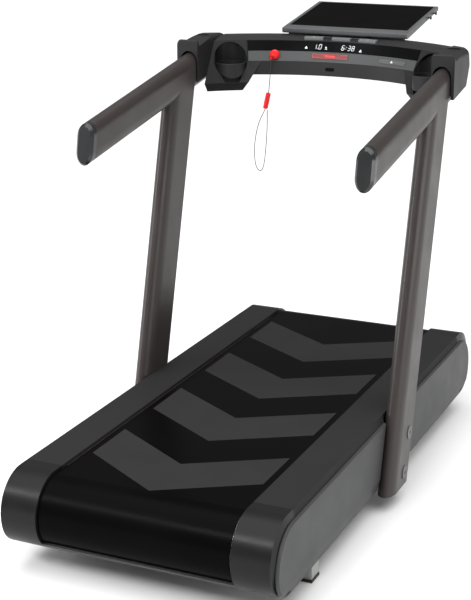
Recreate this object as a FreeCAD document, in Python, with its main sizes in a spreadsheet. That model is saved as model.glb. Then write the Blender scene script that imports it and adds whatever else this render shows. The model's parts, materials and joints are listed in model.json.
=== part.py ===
import FreeCAD, Part
import math
import os
from FreeCAD import Placement, Rotation, Vector

# Motorised flat-deck treadmill, millimetres.  X is across the machine, +Y is the running
# direction and Z is up from the floor.  The origin is under the middle of the whole machine.

doc = FreeCAD.newDocument("treadmill")
sheet = doc.addObject("Spreadsheet::Sheet", "Dimensions")

DIMENSIONS = [
    # base
    ("base_rear", -938.0),           # rearmost point of the base
    ("base_length", 1794.0),
    ("base_bottom", 71.5),
    ("rail_top", 291.5),
    ("rail_inner", 286.0),           # half the gap between the two foot rails
    ("rail_edge", 395.0),             # outer edge of the flat top
    ("rail_outer", 401.0),
    ("rail_bevel", 20.0),            # depth of the slanted strip along that edge
    ("rail_wall", 4.0),
    ("cap_reach", 37.0),             # how far the end caps run past the rollers' axes
    ("flange_depth", 25.0),          # how far the rail's side flange hangs down
    ("panel_inner", 401.5),
    ("panel_outer", 410.4),
    ("panel_wall", 3.5),
    ("panel_inset", 20.5),           # from the base's end
    ("panel_top", 269.5),
    ("panel_upper_radius", 110.0),
    ("panel_lower_radius", 84.0),
    # belt, deck and rollers
    ("belt_width", 560.0),
    ("belt_thickness", 3.0),
    ("belt_top", 284.5),
    ("belt_slack", 0.3),             # clearance between the belt and what it runs on
    ("deck_width", 572.0),
    ("deck_thickness", 21.7),
    ("deck_gap", 66.0),              # from a roller's axis to the deck's end
    ("drum_wall", 4.0),
    ("drum_length", 562.0),
    ("web_thickness", 10.0),
    ("axle_radius", 10.0),
    ("shaft_radius", 12.5),
    ("bearing_radius", 26.0),
    ("running_clearance", 0.05),
    # frame
    ("beam_inner", 288.0),
    ("beam_width", 48.0),
    ("beam_height", 110.0),
    ("beam_bottom", 130.0),
    ("beam_wall", 3.0),
    ("cross_height", 45.0),
    ("cross_width", 60.0),
    ("cushion_radius", 22.0),
    # drive
    ("motor_radius", 52.0),
    ("motor_length", 200.0),
    ("motor_shaft_radius", 9.0),
    ("motor_axis_y", 470.0),
    ("motor_axis_z", 165.0),
    ("pulley_width", 22.0),
    ("pulley_start", 346.0),
    ("big_pulley", 75.0),
    ("small_pulley", 25.0),
    ("ribbed_belt", 3.0),
    # legs, lift and wheels
    ("leg_size", 52.0),
    ("leg_y", -602.5),
    ("pad_height", 9.0),
    ("lift_y", 610.0),
    ("lift_size", 36.0),
    ("lift_top", 258.0),
    ("wheel_y", 727.0),
    ("wheel_radius", 28.0),
    ("wheel_width", 26.0),
    ("wheel_centre", 33.0),
    # uprights and handrails
    ("post_centre", 423.0),
    ("tube_width", 55.0),            # both the uprights and the handrails
    ("tube_wall", 3.0),
    ("upright_depth", 146.0),
    ("upright_nose", 45.0),          # depth of the section's pointed rear end
    ("upright_lean", 14.21),         # degrees forward from vertical
    ("upright_foot_y", -75.5),       # where the centre line meets the floor
    ("upright_bottom", 50.0),
    ("handrail_height", 114.0),
    ("handrail_crown", 36.0),        # height of the section's curved top and bottom
    ("handrail_rise", 9.76),         # degrees
    ("handrail_end_y", -393.4),      # where the centre line leaves the end cap
    ("handrail_end_z", 1092.0),
    ("handrail_length", 865.0),
    ("cap_slant", 20.0),             # degrees, top forward
    ("cap_rear", 11.0),              # along the centre line
    ("cap_seam", 37.0),
    # console
    ("console_axis_y", -46.0),       # the console is swept about this vertical axis
    ("cup_angle", 34.7),
    ("cup_axis_radius", 596.0),
    ("cup_radius", 50.0),
    ("cup_floor", 1161.5),
    ("cup_lip", 1228.5),
    ("window_centre", 1237.5),       # height of the round opening's middle
    ("window_radius", 56.0),
    ("ear_inner", 388.0),
    ("ear_outer", 463.0),
    ("ear_rear", 302.0),
    ("ear_gap", 8.0),                # above the handrail
    ("key_angle", -20.5),
    ("key_height", 1250.8),
    ("key_radius", 16.0),
    # device tray
    ("tray_half_width", 217.0),
    ("tray_tilt", 9.16),
    ("tray_hinge_y", 605.0),
    ("tray_hinge_z", 1321.5),
    ("hinge_pin_radius", 4.0),
    # lanyard
    ("cord_diameter", 2.5),
]
for row, (name, value) in enumerate(DIMENSIONS, start=1):
    sheet.set("A%d" % row, name)
    sheet.set("B%d" % row, repr(value))
    sheet.setAlias("B%d" % row, name)
doc.recompute()


def cell(name):
    return float(sheet.get(name))


# ---------------------------------------------------------------- helpers
PARTS = []
X_AXIS = Vector(1, 0, 0)
Z_AXIS = Vector(0, 0, 1)


def bind(obj, prop, value):
    """Set a size: text is an expression on the sheet, a number is kept as it is."""
    if isinstance(value, str):
        for name, _ in DIMENSIONS:
            value = value.replace("{%s}" % name, "Dimensions.%s" % name)
        obj.setExpression(prop, value)
    else:
        setattr(obj, prop, value)


def part(obj, label):
    """Mark an object as one of the machine's pieces."""
    obj.Label = label
    PARTS.append(obj)
    return obj


def rounded(points):
    """Closed outline through (x, y, radius) corners, its round corners as tangent arcs."""
    count = len(points)
    starts = []
    ends = []
    middles = []
    for i in range(count):
        here = Vector(points[i][0], points[i][1], 0)
        back = Vector(points[i - 1][0], points[i - 1][1], 0) - here
        ahead = Vector(points[(i + 1) % count][0], points[(i + 1) % count][1], 0) - here
        back.normalize()
        ahead.normalize()
        radius = points[i][2]
        if radius == 0:
            starts.append(here)
            ends.append(here)
            middles.append(None)
            continue
        half = back.getAngle(ahead) / 2
        bisector = back + ahead
        bisector.normalize()
        reach = radius / math.tan(half)
        starts.append(here + back * reach)
        ends.append(here + ahead * reach)
        middles.append(here + bisector * (radius / math.sin(half) - radius))
    edges = []
    for i in range(count):
        if middles[i] is not None:
            edges.append(Part.Arc(starts[i], middles[i], ends[i]))
        following = starts[(i + 1) % count]
        if (following - ends[i]).Length > 1e-6:
            edges.append(Part.LineSegment(ends[i], following))
    return edges


def plain(points):
    return rounded([(x, y, 0) for x, y in points])


def rectangle(x0, y0, x1, y1, radius=0):
    return rounded([(x0, y0, radius), (x1, y0, radius), (x1, y1, radius), (x0, y1, radius)])


def polar(x, y, radius, degrees):
    angle = math.radians(degrees)
    return Vector(x + radius * math.cos(angle), y + radius * math.sin(angle), 0)


def ring_sector(x, y, inner, outer, start, end):
    """Part of a ring between two angles in degrees."""
    middle = (start + end) / 2
    return [
        Part.Arc(polar(x, y, outer, start), polar(x, y, outer, middle), polar(x, y, outer, end)),
        Part.LineSegment(polar(x, y, outer, end), polar(x, y, inner, end)),
        Part.Arc(polar(x, y, inner, end), polar(x, y, inner, middle), polar(x, y, inner, start)),
        Part.LineSegment(polar(x, y, inner, start), polar(x, y, outer, start)),
    ]


def loop(x0, x1, y, radius0, radius1):
    """Outline of a belt pulled round two circles whose centres are level."""
    span = x1 - x0
    lean = math.degrees(math.acos((radius0 - radius1) / span))
    upper0 = polar(x0, y, radius0, lean)
    lower0 = polar(x0, y, radius0, -lean)
    upper1 = polar(x1, y, radius1, lean)
    lower1 = polar(x1, y, radius1, -lean)
    return [
        Part.Arc(upper0, polar(x0, y, radius0, 180), lower0),
        Part.LineSegment(lower0, lower1),
        Part.Arc(lower1, polar(x1, y, radius1, 0), upper1),
        Part.LineSegment(upper1, upper0),
    ]


def half_ellipse(x, y, width, reach):
    """Half of an ellipse standing on a line of this width, bulging by reach along Y."""
    ellipse = Part.Ellipse(Vector(x, y + reach, 0), Vector(x + width / 2, y, 0), Vector(x, y, 0))
    return Part.ArcOfEllipse(ellipse, -math.pi / 2, math.pi / 2)


def oval(width, height, crown, centre=0.0):
    """Handrail section: flat sides, and a curved top and bottom."""
    half = width / 2
    shoulder = height / 2 - crown
    upper = centre + shoulder
    lower = centre - shoulder
    return [
        half_ellipse(0, upper, width, crown),
        Part.LineSegment(Vector(-half, upper, 0), Vector(-half, lower, 0)),
        half_ellipse(0, lower, width, -crown),
        Part.LineSegment(Vector(half, lower, 0), Vector(half, upper, 0)),
    ]


def nosed(width, depth, nose, corner):
    """Upright section: a long curved rear nose, flat sides and a square front."""
    half = width / 2
    shoulder = nose - depth / 2
    front = depth / 2
    bend = corner * (1 - math.sqrt(0.5))
    return [
        half_ellipse(0, shoulder, width, -nose),
        Part.LineSegment(Vector(half, shoulder, 0), Vector(half, front - corner, 0)),
        Part.Arc(Vector(half, front - corner, 0), Vector(half - bend, front - bend, 0),
                 Vector(half - corner, front, 0)),
        Part.LineSegment(Vector(half - corner, front, 0), Vector(corner - half, front, 0)),
        Part.Arc(Vector(corner - half, front, 0), Vector(bend - half, front - bend, 0),
                 Vector(-half, front - corner, 0)),
        Part.LineSegment(Vector(-half, front - corner, 0), Vector(-half, shoulder, 0)),
    ]


def new_sketch(body, role, edges):
    sketch = body.newObject("Sketcher::SketchObject", "Sketch")
    plane = [item for item in body.Origin.OriginFeatures if item.Role == role][0]
    sketch.AttachmentSupport = [(plane, "")]
    sketch.MapMode = "FlatFace"
    for edge in edges:
        sketch.addGeometry(edge, False)
    return sketch


def extruded(role, edges, length, base=Vector(0, 0, 0), turn=None):
    """A Body with one padded sketch on the plane named by role."""
    body = doc.addObject("PartDesign::Body", "Body")
    sketch = new_sketch(body, role, edges)
    pad = body.newObject("PartDesign::Pad", "Pad")
    pad.Profile = sketch
    bind(pad, "Length", length)
    body.Placement = Placement(base, turn or Rotation())
    return body


def along_x(edges, x0, x1):
    """Profile of (y, z) points, from x0 to x1."""
    return extruded("YZ_Plane", edges, x1 - x0, Vector(x0, 0, 0))


def along_y(edges, y0, y1):
    """Profile of (x, z) points, from y0 to y1."""
    return extruded("XZ_Plane", edges, y1 - y0, Vector(0, y1, 0))


def swept_round(edges, start, end):
    """Profile of (radius, z) points turned about the console's axis.

    Angles are in degrees from straight ahead (+Y), positive towards +X.
    """
    body = doc.addObject("PartDesign::Body", "Body")
    sketch = new_sketch(body, "XZ_Plane", edges)
    turn = body.newObject("PartDesign::Revolution", "Revolution")
    turn.Profile = sketch
    turn.ReferenceAxis = (sketch, ["V_Axis"])
    turn.Angle = end - start
    body.Placement = Placement(Vector(0, cell("console_axis_y"), 0), Rotation(Z_AXIS, 90 - end))
    return body


def turned(edges, base, turn=None, angle=360):
    """Profile of (radius, length) points turned about its own second axis."""
    body = doc.addObject("PartDesign::Body", "Body")
    sketch = new_sketch(body, "XZ_Plane", edges)
    spin = body.newObject("PartDesign::Revolution", "Revolution")
    spin.Profile = sketch
    spin.ReferenceAxis = (sketch, ["V_Axis"])
    spin.Angle = angle
    body.Placement = Placement(base, turn or Rotation())
    return body


ALONG_X = Rotation(Vector(0, 1, 0), 90)


def box(size_x, size_y, size_z, base, turn=None):
    item = doc.addObject("Part::Box", "Box")
    bind(item, "Length", size_x)
    bind(item, "Width", size_y)
    bind(item, "Height", size_z)
    item.Placement = Placement(base, turn or Rotation())
    return item


def rod(radius, length, base, turn=None):
    item = doc.addObject("Part::Cylinder", "Cylinder")
    bind(item, "Radius", radius)
    bind(item, "Height", length)
    item.Placement = Placement(base, turn or Rotation())
    return item


def cut(base, tool):
    item = doc.addObject("Part::Cut", "Cut")
    item.Base = base
    item.Tool = tool
    return item


def fuse(items):
    item = doc.addObject("Part::MultiFuse", "Fusion")
    item.Shapes = items
    return item


def common(items):
    item = doc.addObject("Part::MultiCommon", "Common")
    item.Shapes = items
    return item


def mirror(source):
    """The same piece on the other side of the machine."""
    item = doc.addObject("Part::Mirroring", "Mirror")
    item.Source = source
    item.Normal = X_AXIS
    return item


def group(items):
    item = doc.addObject("Part::Compound", "Group")
    item.Links = items
    return item


def pair(item):
    return group([item, mirror(item)])


def both_sides(item, name):
    """Right-hand piece and its mirror image, as two nodes."""
    part(item, name + "_right")
    part(mirror(item), name + "_left")


# ---------------------------------------------------------------- derived positions
base_bottom = cell("base_bottom")
rail_top = cell("rail_top")
end_radius = (rail_top - base_bottom) / 2
axis_z = (rail_top + base_bottom) / 2
rear_axis = cell("base_rear") + end_radius
front_axis = cell("base_rear") + cell("base_length") - end_radius
belt_outer = cell("belt_top") - axis_z
belt_inner = belt_outer - cell("belt_thickness")
drum_radius = belt_inner - cell("belt_slack")
beam_inner = cell("beam_inner")
beam_outer = beam_inner + cell("beam_width")
beam_bottom = cell("beam_bottom")
beam_top = beam_bottom + cell("beam_height")
rail_inner = cell("rail_inner")
rail_outer = cell("rail_outer")


# ---------------------------------------------------------------- base covers
def rail_profile():
    """Channel of (x, z) points with a slanted outer edge, open downwards."""
    wall = cell("rail_wall")
    flange = rail_top - cell("flange_depth")
    edge = cell("rail_edge")
    seam = rail_top - cell("rail_bevel")
    return plain([
        (rail_inner, flange), (rail_inner + wall, flange), (rail_inner + wall, rail_top - wall),
        (edge - wall + 1, rail_top - wall), (rail_outer - wall, seam), (rail_outer - wall, flange),
        (rail_outer, flange), (rail_outer, seam), (edge, rail_top), (rail_inner, rail_top),
    ])


def foot_rails():
    reach = cell("cap_reach") + 0.4
    rail = along_y(rail_profile(), rear_axis + reach, front_axis - reach)
    both_sides(cut(rail, upright_slot(1.0)), "foot_rail")


def end_cap(axis, turn, start, end):
    """Half-round end of a foot rail, closed at the outer side, and its short straight part."""
    wall = cell("rail_wall")
    lip = end_radius - cell("flange_depth")
    seam = end_radius - cell("rail_bevel")
    edge = cell("rail_edge")
    profile = plain([
        (lip, rail_inner), (end_radius, rail_inner), (end_radius, edge), (seam, rail_outer),
        (0, rail_outer), (0, rail_outer - wall), (seam, rail_outer - wall),
        (end_radius - wall, edge - wall + 1), (end_radius - wall, rail_inner + wall), (lip, rail_inner + wall),
    ])
    bend = turned(profile, Vector(0, axis, axis_z), turn, 180)
    return pair(fuse([bend, along_y(rail_profile(), start, end)]))


def rail_caps():
    reach = cell("cap_reach")
    front = end_cap(front_axis, ALONG_X, front_axis - reach, front_axis)
    backwards = Rotation(X_AXIS, 180).multiply(ALONG_X)
    part(end_cap(rear_axis, backwards, rear_axis, rear_axis + reach), "rear_rail_caps")
    part(cut(front, inlet_plate(30, 0.3)), "front_rail_caps")


def belt_lips():
    """Guards between the rails that close the belt's lower turn at each end."""
    start = 41
    rear = ring_sector(rear_axis, axis_z, belt_outer + 1, end_radius, 180 + start, 270)
    front = ring_sector(front_axis, axis_z, belt_outer + 1, end_radius, -start, -90)
    half = rail_inner - 1
    part(group([along_x(rear, -half, half), along_x(front, -half, half)]), "belt_lips")


def panel_outline(inset):
    """Long shape of (y, z) points with round ends, its top level with the rail's seam."""
    rear = cell("base_rear") + cell("panel_inset") + inset
    front = cell("base_rear") + cell("base_length") - cell("panel_inset") - inset
    top = cell("panel_top") - inset
    upper = cell("panel_upper_radius") - inset
    lower = cell("panel_lower_radius") - inset
    bottom = base_bottom + inset
    return rounded([(rear, bottom, lower), (front, bottom, lower), (front, top, upper), (rear, top, upper)])


def side_panels():
    """Shells open towards the frame, with a bevel along the bottom and a slot for the upright."""
    inner = cell("panel_inner")
    outer = cell("panel_outer")
    wall = cell("panel_wall")
    rear = rear_axis
    front = front_axis
    block = along_x(panel_outline(0), inner, outer)
    doc.recompute()
    rim = doc.addObject("Part::Chamfer", "PanelRim")
    rim.Base = block
    edges = []
    for index, edge in enumerate(block.Shape.Edges, start=1):
        if abs(edge.CenterOfMass.x - outer) < 0.01:
            edges.append((index, 4.0, 4.0))
    rim.Edges = edges
    shell = cut(rim, along_x(panel_outline(wall + 1.5), inner - 1, outer - wall))
    bevel = along_y(plain([(outer - 5.5, base_bottom - 1), (outer + 1, base_bottom - 1),
                           (outer + 1, base_bottom + 40)]), rear - 120, front + 120)
    skirt = along_y(plain([(outer - 8.6, base_bottom + 0.5), (outer - 5.2, base_bottom + 0.5),
                           (outer - 0.8, base_bottom + 34), (outer - 4, base_bottom + 34)]), rear, front)
    both_sides(cut(fuse([cut(shell, bevel), skirt]), upright_slot(4.0)), "side_panel")


def upright_slot(gap):
    """The slanted opening that an upright passes through."""
    size = cell("upright_depth") + 2 * gap
    inner = cell("post_centre") - cell("tube_width") / 2 - 0.3
    block = box(60, size, 600, Vector(inner, -size / 2, -150))
    block.Placement = upright_frame().multiply(block.Placement)
    return block


def base_pan():
    """Thin bottom cover, cut out round the legs and the wheel forks."""
    thickness = 3.0
    half = cell("rail_edge")
    plate = box(2 * half, front_axis - rear_axis - 2, thickness, Vector(-half, rear_axis + 1, base_bottom))
    gap = 2.0
    leg = cell("leg_size")
    openings = []
    for side in (-1, 1):
        leg_x = side * (beam_outer + leg / 2)
        sleeve_x = side * (beam_inner + cell("beam_width") / 2)
        openings.append(hole_box(leg_x, cell("leg_y"), leg + 2 * gap, leg + 2 * gap))
        openings.append(hole_box(sleeve_x, cell("lift_y"), 42 + 2 * gap, 42 + 2 * gap))
        openings.append(hole_box(sleeve_x, cell("wheel_y"), 42, 34))
    part(cut(plate, fuse(openings)), "base_pan")


def hole_box(x, y, size_x, size_y):
    return box(size_x, size_y, 40, Vector(x - size_x / 2, y - size_y / 2, base_bottom - 20))


# ---------------------------------------------------------------- frame and deck
def frame_beams():
    wall = cell("beam_wall")
    rear = rear_axis - 60
    length = front_axis - rear_axis + 120
    outer = box("{beam_width}", length, "{beam_height}", Vector(beam_inner, rear, beam_bottom))
    inner = box("{beam_width} - 2 * {beam_wall}", length + 2, "{beam_height} - 2 * {beam_wall}",
                Vector(beam_inner + wall, rear - 1, beam_bottom + wall))
    reach = cell("beam_width") + 2
    holes = fuse([
        rod("{axle_radius} + {running_clearance}", reach, Vector(beam_inner - 1, rear_axis, axis_z), ALONG_X),
        rod("{bearing_radius}", reach, Vector(beam_inner - 1, front_axis, axis_z), ALONG_X),
        rod("{motor_shaft_radius} + 4", reach,
            Vector(beam_inner - 1, cell("motor_axis_y"), cell("motor_axis_z")), ALONG_X),
        box(42, 42, 400, Vector(beam_inner + wall, cell("lift_y") - 21, 0)),
    ])
    part(pair(cut(cut(outer, inner), holes)), "frame_beams")


CROSS_PLACES = (-640.0, -200.0, 240.0, 600.0)


def cross_members():
    """Square tubes between the beams that carry the deck."""
    height = cell("cross_height")
    bottom = beam_top - height
    tubes = []
    for y in CROSS_PLACES:
        outer = box("2 * {beam_inner}", "{cross_width}", "{cross_height}",
                    Vector(-beam_inner, y - cell("cross_width") / 2, bottom))
        inner = box("2 * {beam_inner} + 2", "{cross_width} - 6", "{cross_height} - 6",
                    Vector(-beam_inner - 1, y - cell("cross_width") / 2 + 3, bottom + 3))
        tubes.append(cut(outer, inner))
    part(group(tubes), "cross_members")


def deck():
    top = cell("belt_top") - cell("belt_thickness") - cell("belt_slack")
    bottom = top - cell("deck_thickness")
    start = rear_axis + cell("deck_gap")
    board = box("{deck_width}", front_axis - rear_axis - 2 * cell("deck_gap"), "{deck_thickness}",
                Vector(-cell("deck_width") / 2, start, bottom))
    part(board, "deck_board")
    pads = []
    for y in CROSS_PLACES:
        for x in (-230, 230):
            pads.append(rod("{cushion_radius}", bottom - beam_top, Vector(x, y, beam_top)))
    part(group(pads), "deck_cushions")


def running_belt():
    outer = loop(rear_axis, front_axis, axis_z, belt_outer, belt_outer)
    inner = loop(rear_axis, front_axis, axis_z, belt_inner, belt_inner)
    half = cell("belt_width") / 2
    part(along_x(outer + inner, -half, half), "running_belt")


# ---------------------------------------------------------------- rollers and drive
def drum(hub_radius):
    """Hollow roller with a web near each end, along X and centred."""
    half = cell("drum_length") / 2
    inner = drum_radius - cell("drum_wall")
    web = cell("web_thickness")
    inset = 6
    profile = plain([
        (drum_radius, -half), (drum_radius, half), (inner, half), (inner, half - inset),
        (hub_radius, half - inset), (hub_radius, half - inset - web), (inner, half - inset - web),
        (inner, inset + web - half), (hub_radius, inset + web - half), (hub_radius, inset - half),
        (inner, inset - half), (inner, -half),
    ])
    return profile


def bearing(radius, bore, width, x, y, z):
    ring = plain([(bore, 0), (radius, 0), (radius, width), (bore, width)])
    return turned(ring, Vector(x, y, z), ALONG_X)


def rear_roller():
    clearance = cell("running_clearance")
    hub = cell("bearing_radius")
    part(turned(drum(hub), Vector(0, rear_axis, axis_z), ALONG_X), "rear_drum")
    width = cell("web_thickness")
    start = cell("drum_length") / 2 - 6 - width
    ring = bearing(hub, cell("axle_radius") + clearance, width, start, rear_axis, axis_z)
    part(pair(ring), "rear_bearings")
    part(rod("{axle_radius}", 2 * beam_outer, Vector(-beam_outer, rear_axis, axis_z), ALONG_X), "rear_axle")


def front_roller():
    clearance = cell("running_clearance")
    shaft = cell("shaft_radius")
    part(turned(drum(shaft), Vector(0, front_axis, axis_z), ALONG_X), "front_drum")
    start = -beam_outer
    end = cell("pulley_start") + cell("pulley_width") + 2
    part(rod("{shaft_radius}", end - start, Vector(start, front_axis, axis_z), ALONG_X), "front_shaft")
    ring = bearing(cell("bearing_radius"), shaft + clearance, cell("beam_width") - 10, beam_inner + 5,
                   front_axis, axis_z)
    part(pair(ring), "front_bearings")
    part(pulley(cell("big_pulley"), shaft, front_axis, axis_z), "front_pulley")


def pulley(radius, bore, y, z):
    """Flat-faced pulley with a rim at each side and a thinner web."""
    width = cell("pulley_width")
    rim = radius + 2.5
    web = radius - 12
    if web < bore + 12:
        profile = plain([(bore, 0), (rim, 0), (rim, 2), (radius, 2), (radius, width - 2), (rim, width - 2),
                         (rim, width), (bore, width)])
    else:
        profile = plain([(bore, 0), (bore + 8, 0), (bore + 8, 7), (web, 7), (web, 0), (rim, 0), (rim, 2),
                         (radius, 2), (radius, width - 2), (rim, width - 2), (rim, width), (web, width),
                         (web, width - 7), (bore + 8, width - 7), (bore + 8, width), (bore, width)])
    return turned(profile, Vector(cell("pulley_start"), y, z), ALONG_X)


def motor():
    y = cell("motor_axis_y")
    z = cell("motor_axis_z")
    end = beam_inner - 8
    start = end - cell("motor_length")
    bore = cell("motor_shaft_radius") + cell("running_clearance")
    radius = cell("motor_radius")
    profile = rounded([(bore, 0, 0), (radius - 6, 0, 3), (radius - 6, 30, 0), (radius, 30, 2),
                       (radius, 170, 2), (radius - 6, 170, 0), (radius - 6, 200, 3), (bore, 200, 0)])
    body = turned(profile, Vector(start, y, z), ALONG_X)
    foot = box(120, 90, 60, Vector(start + 40, y - 45, z - radius - 8))
    bar = box(120, 2 * 45 + 70, 8, Vector(start + 40, y - 45, z - radius - 8))
    cradle = cut(foot, rod(radius - 1, 140, Vector(start + 30, y, z), ALONG_X))
    part(fuse([body, cradle, bar]), "motor_case")
    reach = cell("pulley_start") + cell("pulley_width") + 4 - start
    part(rod("{motor_shaft_radius}", reach, Vector(start, y, z), ALONG_X), "motor_shaft")
    part(pulley(cell("small_pulley"), cell("motor_shaft_radius"), y, z), "motor_pulley")


def drive_belt():
    """Ribbed belt between the motor pulley and the front roller's pulley."""
    y0 = cell("motor_axis_y")
    z0 = cell("motor_axis_z")
    rise = math.degrees(math.atan2(axis_z - z0, front_axis - y0))
    span = math.hypot(axis_z - z0, front_axis - y0)
    slack = cell("belt_slack")
    thick = cell("ribbed_belt")
    small = cell("small_pulley") + slack
    big = cell("big_pulley") + slack
    outline = loop(0, span, 0, small + thick, big + thick) + loop(0, span, 0, small, big)
    width = cell("pulley_width") - 5
    start = cell("pulley_start") + 2.5
    item = extruded("YZ_Plane", outline, width, Vector(start, y0, z0), Rotation(X_AXIS, rise))
    part(item, "drive_belt")


INLET_X = (-366.0, -312.0)           # plate that holds the mains socket and the power switch
INLET_HALF_HEIGHT = 16.0
SWITCH_X = (-336.0, -318.0)
SWITCH_TILT = 8.0                    # degrees either side of level


def controller():
    item = cut(box(180, 150, 70, Vector(-250, 330, 110)), box(172, 142, 66, Vector(-246, 334, 106)))
    part(item, "controller_box")


def inlet_plate(depth, grow):
    return box(INLET_X[1] - INLET_X[0] + 2 * grow, depth, 2 * (INLET_HALF_HEIGHT + grow),
               Vector(INLET_X[0] - grow, front_axis + 90, axis_z - INLET_HALF_HEIGHT - grow))


def power_inlet():
    plate = inlet_plate(15, 0)
    socket = box(24, 14, 18, Vector(INLET_X[0] + 3, front_axis + 94, axis_z - 9))
    rocker = box(SWITCH_X[1] - SWITCH_X[0] + 1, 12, 25, Vector(SWITCH_X[0] - 0.5, front_axis + 96, axis_z - 12.5))
    part(cut(plate, fuse([socket, rocker])), "power_inlet")


def power_switch():
    """Rocker, resting on its off side; it turns about a line along X through its middle."""
    face = rounded([(-4, -10.5, 1), (3.5, -10.5, 1.5), (2, 0, 0), (3.5, 10.5, 1.5), (-4, 10.5, 1)])
    item = extruded("YZ_Plane", face, SWITCH_X[1] - SWITCH_X[0],
                    Vector(SWITCH_X[0], front_axis + 103, axis_z), Rotation(X_AXIS, -SWITCH_TILT))
    part(item, "power_switch")


# ---------------------------------------------------------------- legs, lift and wheels
def rear_legs():
    size = cell("leg_size")
    pad = cell("pad_height")
    y = cell("leg_y") - size / 2
    outer = box("{leg_size}", "{leg_size}", beam_top - pad - 10, Vector(beam_outer, y, pad))
    inner = box("{leg_size} - 8", "{leg_size} - 8", beam_top, Vector(beam_outer + 4, y + 4, pad + 4))
    part(pair(cut(outer, inner)), "rear_legs")
    foot = box("{leg_size} + 4", "{leg_size} + 4", "{pad_height}", Vector(beam_outer - 2, y - 2, 0))
    part(pair(foot), "rear_leg_pads")


def lift_legs():
    """Telescopic front legs: square tubes that slide down out of fixed sleeves."""
    size = cell("lift_size")
    pad = cell("pad_height")
    centre = beam_inner + cell("beam_width") / 2
    y = cell("lift_y")
    bottom = base_bottom + 2
    top = cell("lift_top") + 4
    outer = box(42, 42, top - bottom, Vector(centre - 21, y - 21, bottom))
    inner = box(37, 37, top - bottom - 3, Vector(centre - 18.5, y - 18.5, bottom - 1))
    part(pair(cut(outer, inner)), "lift_sleeves")
    tube = box("{lift_size}", "{lift_size}", cell("lift_top") - pad,
               Vector(centre - size / 2, y - size / 2, pad))
    core = box("{lift_size} - 8", "{lift_size} - 8", cell("lift_top"),
               Vector(centre - size / 2 + 4, y - size / 2 + 4, pad + 6))
    both_sides(cut(tube, core), "lift_leg")
    foot = box(46, 46, "{pad_height}", Vector(centre - 23, y - 23, 0))
    both_sides(foot, "lift_foot")


def transport_wheels():
    centre = beam_inner + cell("beam_width") / 2
    width = cell("wheel_width")
    y = cell("wheel_y")
    z = cell("wheel_centre")
    radius = cell("wheel_radius")
    pin = 5.0
    tread = rounded([(pin + cell("running_clearance"), 0, 0), (radius - 8, 0, 0), (radius, 4, 3),
                     (radius, width - 4, 3), (radius - 8, width, 0), (pin + cell("running_clearance"), width, 0)])
    wheel = turned(tread, Vector(centre - width / 2, y, z), ALONG_X)
    both_sides(wheel, "transport_wheel")
    plates = []
    for x in (centre - 18, centre + 15):
        plates.append(box(3, 28, beam_bottom - 18, Vector(x, y - 14, 18)))
    plates.append(rod(pin, 36, Vector(centre - 18, y, z), ALONG_X))
    part(pair(fuse(plates)), "wheel_forks")


# ---------------------------------------------------------------- uprights and handrails
def upright_frame():
    """Local Z runs up the upright's centre line from the floor."""
    lean = Rotation(X_AXIS, -cell("upright_lean"))
    return Placement(Vector(0, cell("upright_foot_y"), 0), lean)


def handrail_frame():
    """Local Y runs forward along the handrail's centre line from its rear end."""
    origin = Vector(cell("post_centre"), cell("handrail_end_y"), cell("handrail_end_z"))
    return Placement(origin, Rotation(X_AXIS, cell("handrail_rise")))


def handrail_bar(start, length, width, height, crown, centre=0.0, hollow=None):
    """Bar along the handrail's centre line, of its section or one like it."""
    edges = oval(width, height, crown, -centre)
    if hollow:
        edges += oval(width - 2 * hollow, height - 2 * hollow, crown - hollow, -centre)
    bar = extruded("XY_Plane", edges, length)
    lie = Placement(Vector(0, start, 0), Rotation(X_AXIS, -90))
    bar.Placement = handrail_frame().multiply(lie)
    return bar


def uprights():
    wall = cell("tube_wall")
    width = cell("tube_width")
    depth = cell("upright_depth")
    nose = cell("upright_nose")
    section_edges = nosed(width, depth, nose, 7.0)
    section_edges += nosed(width - 2 * wall, depth - 2 * wall, nose - wall, 4.0)
    post = extruded("XY_Plane", section_edges, 1400)
    frame = upright_frame()
    post.Placement = Placement(Vector(cell("post_centre"), frame.Base.y, 0), frame.Rotation)
    below = box(200, 800, 200, Vector(322, -400, cell("upright_bottom") - 200))
    above = box(200, 1600, 600, Vector(-100, -300, 0))
    above.Placement = handrail_frame().multiply(above.Placement)
    saddle = handrail_bar(0, 900, cell("tube_width"), cell("handrail_height"), cell("handrail_crown"))
    both_sides(cut(cut(post, below), fuse([above, saddle])), "upright")


BOLT_PLACES = ((-19.8, 90.7), (16.9, 208.0))


def upright_fixings():
    """Box brackets from the beams to the uprights, and the bolts through both."""
    frame = upright_frame()
    reach = cell("post_centre") - cell("tube_width") / 2 - beam_outer
    block = box(reach, 110, 140, Vector(beam_outer, -40, 106))
    block.Placement = frame.multiply(block.Placement)
    hollow = box(reach - 12, 98, 160, Vector(beam_outer + 6, -34, 96))
    hollow.Placement = frame.multiply(hollow.Placement)
    part(pair(cut(block, hollow)), "upright_brackets")
    heads = []
    outer = cell("post_centre") + cell("tube_width") / 2
    for y, z in BOLT_PLACES:
        profile = rounded([(0, 0, 0), (21, 0, 0), (21, 2.5, 1), (5, 2.5, 0), (5, 1, 0), (0, 1, 0)])
        heads.append(turned(profile, Vector(outer, y, z), ALONG_X))
    part(pair(group(heads)), "upright_bolts")


def slanted(place, ahead):
    """Block behind or ahead of the slanted plane across the handrail at this place."""
    block = box(200, 400, 400, Vector(-100, 0 if ahead else -400, -200))
    plane = Placement(Vector(0, place, 0), Rotation(X_AXIS, -cell("cap_slant")))
    block.Placement = handrail_frame().multiply(plane).multiply(block.Placement)
    return block


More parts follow.
